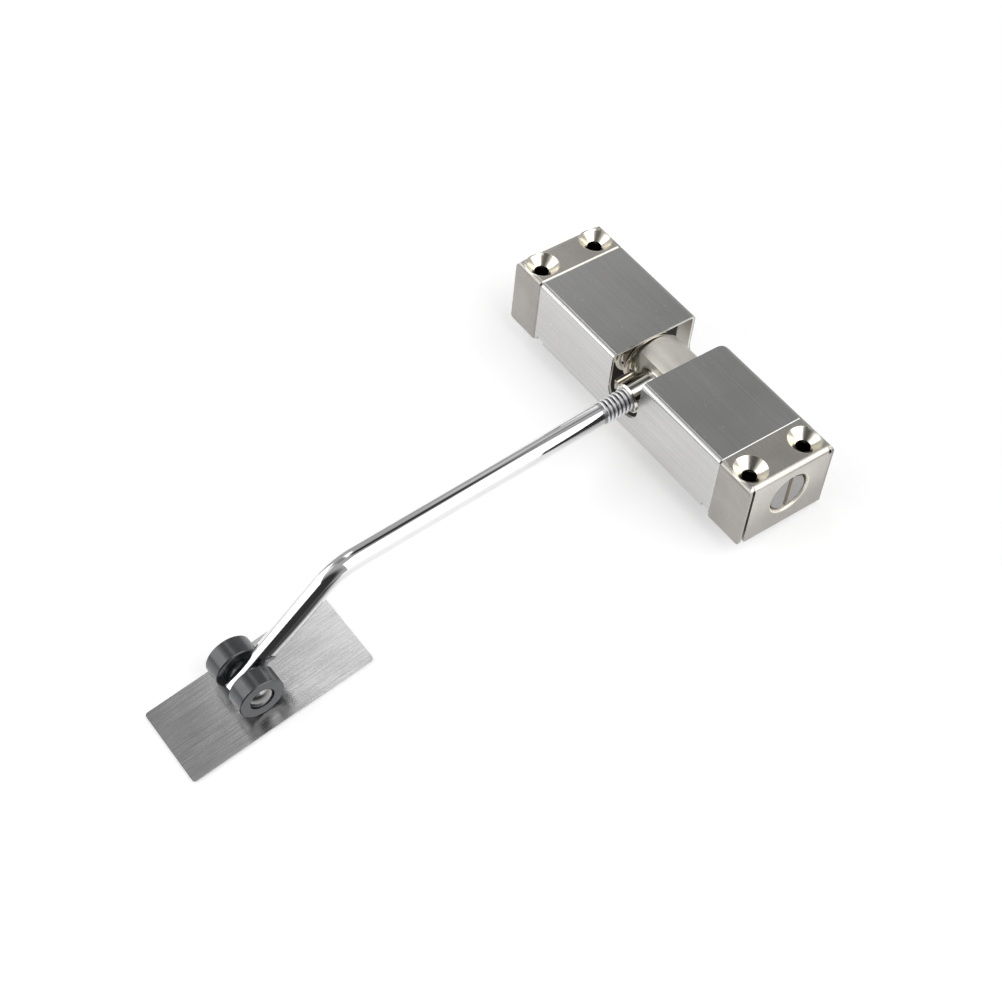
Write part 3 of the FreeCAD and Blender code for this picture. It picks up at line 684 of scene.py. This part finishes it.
def tangAlongX(coil, centre, angle, winding, side, s):
    # a quarter bend from the coil's direction into the shaft's, then a straight tang
    pickRing(coil, centre, s)
    outward = Vector((0, math.cos(angle), math.sin(angle)))
    bpy.ops.mesh.spin(steps=s["bendSteps"], angle=winding * math.pi / 2, axis=outward,
                      center=centre + Vector((side * s["bend"] * mm, 0, 0)))
    pushOut((side * s["tang"] * mm, 0, 0))
    bpy.ops.mesh.edge_face_add()
    bpy.ops.object.mode_set(mode="OBJECT")


def finishSpring(coil, node):
    closeUp(coil, smooth=40)
    settle(coil, shaftPlace)
    finishPiece(coil, finishes["spring_steel"])
    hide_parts(node)
    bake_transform(coil)


def makeLeftSpring(c, s):
    lead = math.atan(s["bend"] / s["radius"])  # the bend takes up this much of the coil
    start = math.radians(c["fromAngle"]) - lead
    rise = math.asin((s["bend"] - c["legHeight"]) / (s["radius"] + s["bend"]))
    end = math.pi + rise + armDrop
    coil = makeCoil("leftSpring", c, s, start, end)
    tangAlongX(coil, onCoil(c["from"], start, s), start, 1, -1, s)
    last = onCoil(c["to"], end, s)
    pickRing(coil, last, s)
    outward = Vector((0, math.cos(end), math.sin(end)))
    bpy.ops.mesh.spin(steps=s["bendSteps"], angle=rise - math.pi / 2, axis=(1, 0, 0),
                      center=last + outward * s["bend"] * mm)
    reach = (c["legReach"] - s["radius"] - s["bend"]) * mm
    pushOut(Vector((0, -math.cos(armDrop), -math.sin(armDrop))) * reach)
    bpy.ops.mesh.edge_face_add()
    bpy.ops.object.mode_set(mode="OBJECT")
    finishSpring(coil, "left_spring")


def makeRightSpring(c, s):
    lead = math.atan(s["bend"] / s["radius"])
    start = math.radians(c["fromAngle"]) + lead
    end = math.radians(c["toAngle"]) - lead
    coil = makeCoil("rightSpring", c, s, start, end)
    tangAlongX(coil, onCoil(c["from"], start, s), start, -1, -1, s)
    tangAlongX(coil, onCoil(c["to"], end, s), end, -1, 1, s)
    finishSpring(coil, "right_spring")


makeLeftSpring(leftCoil, coilSizes)
makeRightSpring(rightCoil, coilSizes)
print("springs wound")


# table, light and camera

stageLook = {
    "padFace": (0, -125.815, -30.681), "padGap": 0.05, "tableSize": 3000,
    "tableTone": 0.90, "tableSpread": 0.01, "tableGlow": 0.36, "tableRough": 0.9, "fibreScale": 900.0,
    # the under spans bound a painted shadow beneath the body; the dim spans bound a painted dark patch that
    # only reflections see
    "bodyMiddle": 0.8, "underXSpan": (40, 43), "underFrontSpan": (-8, -6), "underBackSpan": (11, 13),
    "dimXSpan": (10, 40), "dimYSpan": (85, 120), "darkShare": 0.9, "fadeSpan": (14, 45),
    "sky": 0.448, "aim": (0, -40, 0),
}
softBoxes = [  # where each soft box stands (mm), its size (mm) and how bright it is
    {"name": "right", "place": (640, 260, 590), "size": (1000, 1500), "bright": 1.45},
    {"name": "frontLeft", "place": (-450, -760, 300), "size": (1300, 620), "bright": 1.5},
]
roomPatches = [  # darker and lighter parts of the room: direction, inner and outer reach in degrees, level
    {"towards": (-0.50, 0.06, 0.86), "inner": 6, "outer": 7.5, "level": 1.56},
    {"towards": (-0.66, 0.06, 0.75), "inner": 6, "outer": 7.5, "level": 1.56},
    {"towards": (-0.36, 0.05, 0.93), "inner": 6, "outer": 7.5, "level": 1.56},
    {"towards": (-0.48, -0.20, 0.85), "inner": 6, "outer": 7.5, "level": 0.28},
    {"towards": (-0.62, -0.20, 0.76), "inner": 6, "outer": 7.5, "level": 0.28},
    {"towards": (-0.34, -0.20, 0.92), "inner": 6, "outer": 7.5, "level": 0.28},
    {"towards": (-0.48, -0.54, 0.69), "inner": 8, "outer": 14, "level": 0.96},
    {"towards": (-0.63, 0.47, 0.62), "inner": 6, "outer": 14, "level": 0.68},
    {"towards": (-0.45, 0.53, 0.72), "inner": 2, "outer": 10, "level": 0.24},
    {"towards": (-0.29, 0.24, 0.93), "inner": 7, "outer": 16, "level": 0.04},
    {"towards": (0.55, -0.80, 0.24), "inner": 30, "outer": 50, "level": 0.04},
]
cameraPlace = {"eye": (248.49, -271.02, 389.79), "forward": (-0.48062, 0.42431, -0.76744),
               "up": (-0.64761, 0.41833, 0.63687), "field": 28.081}


def addTable(look):
    pickNothing()
    bpy.ops.mesh.primitive_plane_add(size=look["tableSize"] * mm, rotation=(plateTilt, 0, 0), location=(
        Vector(look["padFace"]) - Vector((0, 0, look["padGap"]))) * mm)
    table = bpy.context.object
    table.name = "table"
    bpy.ops.object.transform_apply(location=True, rotation=True, scale=True)
    f = newFinish("tablePaper")
    x, y = f.coordinate(0), f.coordinate(1)
    # painted shadow: the table under the body, as the arm's slot shows it, is painted near-black for the
    # camera and loses its glow
    paintedShadowUnder = 1 - f.over(abs(x - look["bodyMiddle"] * mm), look["underXSpan"])
    paintedShadowUnder = paintedShadowUnder * f.over(y, look["underFrontSpan"]) * (1 - f.over(y, look["underBackSpan"]))
    paintedDarkReflection = f.over(x, look["dimXSpan"]) * f.over(y * -1, look["dimYSpan"])  # painted dark reflection: the patch of table that the roller's face reflects is painted near-black for reflections only
    fibre = f.noise(f.place(), look["fibreScale"], 3.0, 0.5)
    toEye = f.add("ShaderNodeLightPath", output="Is Camera Ray")
    toGloss = f.add("ShaderNodeLightPath", output="Is Glossy Ray")
    tone, spread = look["tableTone"], look["tableSpread"]
    colour = f.blend(fibre, grey(tone - spread), grey(tone + spread))
    # painted shadow and painted dark reflection: darkShare of black laid over both patches
    colour = f.blend((toGloss * paintedDarkReflection + toEye * paintedShadowUnder) * look["darkShare"], colour, (0, 0, 0, 1))
    seen = toEye * (1 - paintedShadowUnder) + toGloss * (1 - paintedDarkReflection)  # white to the eye and in reflections
    glow = f.blend(seen, (0, 0, 0, 1), (1, 1, 1, 1))
    paper = f.principled(colour=colour, rough=look["tableRough"], specular=0.0, glow=glow,
                         glowStrength=look["tableGlow"])
    seenFromBelow = f.add("ShaderNodeNewGeometry", output="Backfacing")
    behind = f.over(y, look["fadeSpan"])  # the arm swings down past the table there
    through = f.add("ShaderNodeBsdfTransparent")
    both = f.add("ShaderNodeMixShader", inputs={
        0: seenFromBelow.join("MAXIMUM", behind), 1: paper, 2: through})
    f.add("ShaderNodeOutputMaterial", inputs={"Surface": both})
    table.data.materials.append(f.owner)


def addWorld(look):
    world = bpy.data.worlds.new("studio")
    bpy.context.scene.world = world
    f = Finish(world)
    direction = f.add("ShaderNodeTexCoord", output="Generated")
    level = f.add("ShaderNodeValue")
    level.socket.default_value = look["sky"]
    for patch in roomPatches:
        facing = f.add("ShaderNodeVectorMath", {"operation": "DOT_PRODUCT"}, {
            0: direction, 1: Vector(patch["towards"]).normalized()}, "Value")
        outer, inner = (math.cos(math.radians(patch[edge])) for edge in ("outer", "inner"))
        share = f.between(facing, outer, inner)
        level = level * (1 - share) + share * patch["level"]
    seen = f.add("ShaderNodeLightPath", output="Is Camera Ray")
    level = level * (1 - seen) + seen
    light = f.add("ShaderNodeBackground", inputs={"Color": (1, 1, 1, 1), "Strength": level})
    f.add("ShaderNodeOutputWorld", inputs={"Surface": light})


def addSoftBox(box, look):
    lamp = bpy.data.lights.new(box["name"], "AREA")
    lamp.shape = "RECTANGLE"
    lamp.size, lamp.size_y = (side * mm for side in box["size"])
    lamp.energy = box["bright"] * math.pi * lamp.size * lamp.size_y
    stand = bpy.data.objects.new(box["name"], lamp)
    bpy.context.collection.objects.link(stand)
    place = Vector(box["place"]) * mm
    aim = Vector(look["aim"]) * mm
    stand.location = place
    stand.rotation_euler = (aim - place).to_track_quat("-Z", "Y").to_euler()


def addCamera(c):
    forward = Vector(c["forward"]).normalized()
    right = forward.cross(Vector(c["up"])).normalized()
    up = right.cross(forward)
    lens = bpy.data.cameras.new("camera")
    lens.sensor_fit = "HORIZONTAL"
    lens.angle = math.radians(c["field"])
    lens.clip_start = 0.01
    camera = bpy.data.objects.new("camera", lens)
    bpy.context.collection.objects.link(camera)
    turn = Matrix((right, up, -forward)).transposed().to_4x4()
    camera.matrix_world = Matrix.Translation(Vector(c["eye"]) * mm) @ turn
    bpy.context.scene.camera = camera


addTable(stageLook)
addWorld(stageLook)
for softBox in softBoxes:
    addSoftBox(softBox, stageLook)
addCamera(cameraPlace)
bpy.context.scene.view_settings.view_transform = "Standard"
print("table, light and camera set")
